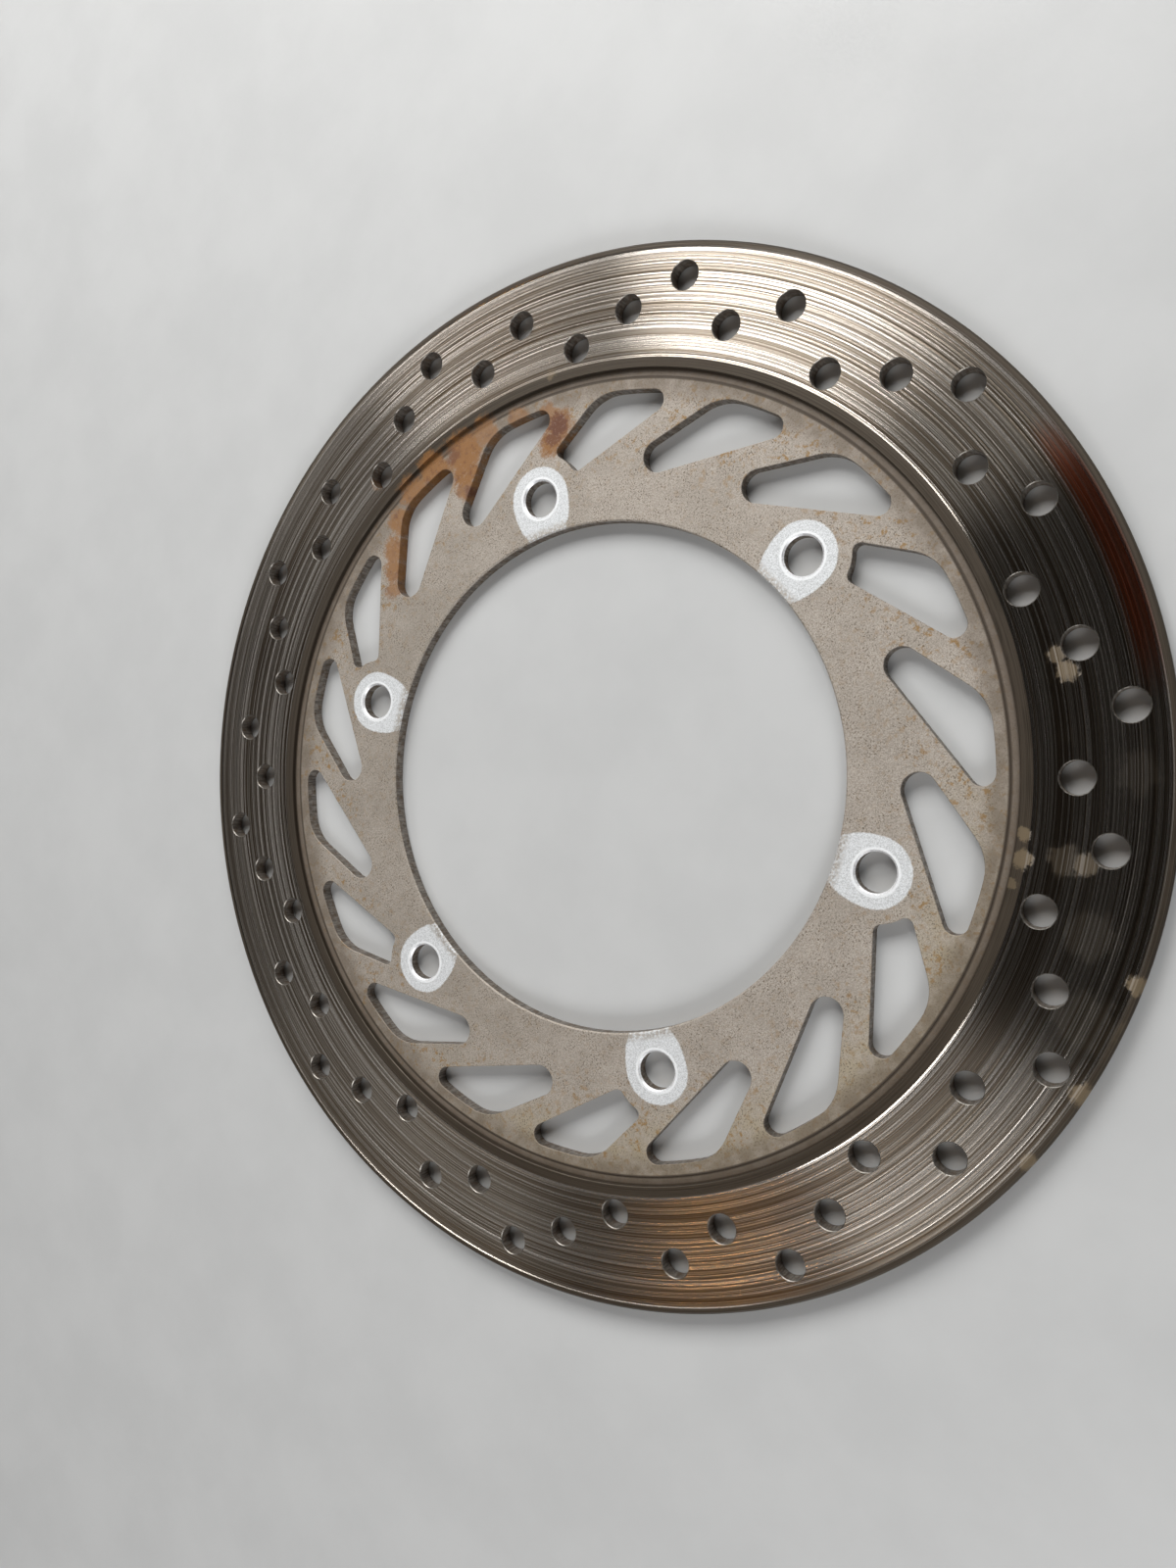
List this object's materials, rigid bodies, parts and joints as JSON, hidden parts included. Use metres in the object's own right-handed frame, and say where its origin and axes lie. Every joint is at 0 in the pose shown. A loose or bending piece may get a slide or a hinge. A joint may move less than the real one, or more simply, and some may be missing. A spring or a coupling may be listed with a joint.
{
  "type": "brake disc rotor",
  "caption": "Solid one-piece motorcycle brake disc with a drilled friction ring, a recessed bolt-on flange with slanted windows, and a large pilot bore.",
  "frame": {"origin": "on the bore's axis, in the plane of the back face, on which the disc can lie", "axes": "+Z along the bore's axis, out of the face that meets the wheel hub; +X from the axis through a bolt hole"},
  "size_m": [0.296, 0.296, 0.005],
  "materials": {
    "disc_steel": "stainless steel, ground in circles on the worn tracks and matt, stained and lightly rusted on the flange"
  },
  "bodies": {
    "root": {"brake_disc": "disc_steel"}
  },
  "joints": []
}
